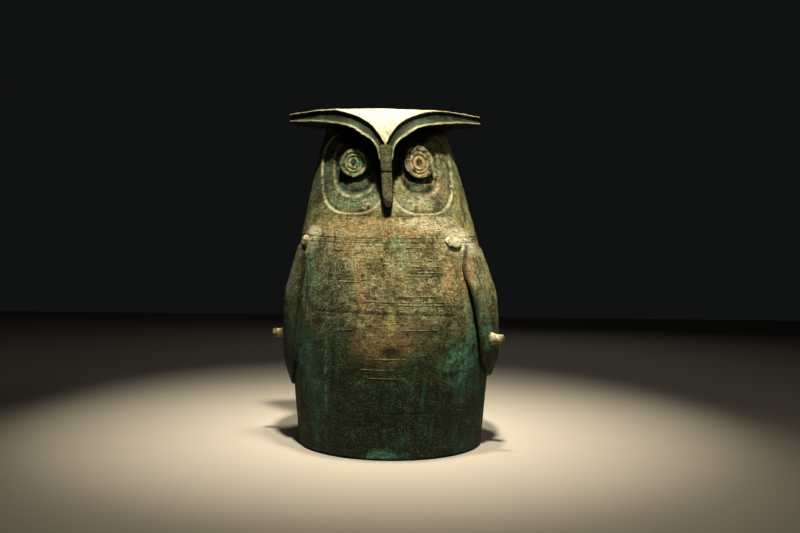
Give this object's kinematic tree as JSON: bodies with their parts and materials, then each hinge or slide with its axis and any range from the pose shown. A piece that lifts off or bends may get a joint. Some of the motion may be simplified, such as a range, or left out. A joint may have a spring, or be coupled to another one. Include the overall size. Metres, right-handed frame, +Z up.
{
  "type": "owl-shaped bronze vessel",
  "caption": "Hollow ancient bronze vessel in the shape of a standing owl, with folded wings and a lift-off owl-head lid with a swept brow.",
  "frame": {"origin": "centre of the flat underside of the vessel, which it stands on", "axes": "+Z up through the vessel, -Y the way the owl looks, +X towards the owl's left wing"},
  "size_m": [0.3091, 0.266, 0.4425],
  "materials": {
    "body_bronze": "cast bronze with a dull olive brown patina and green crusts",
    "head_bronze": "cast bronze with a dark green patina"
  },
  "bodies": {
    "root": {"vessel_body": "body_bronze", "head_lid": "head_bronze"}
  },
  "joints": []
}
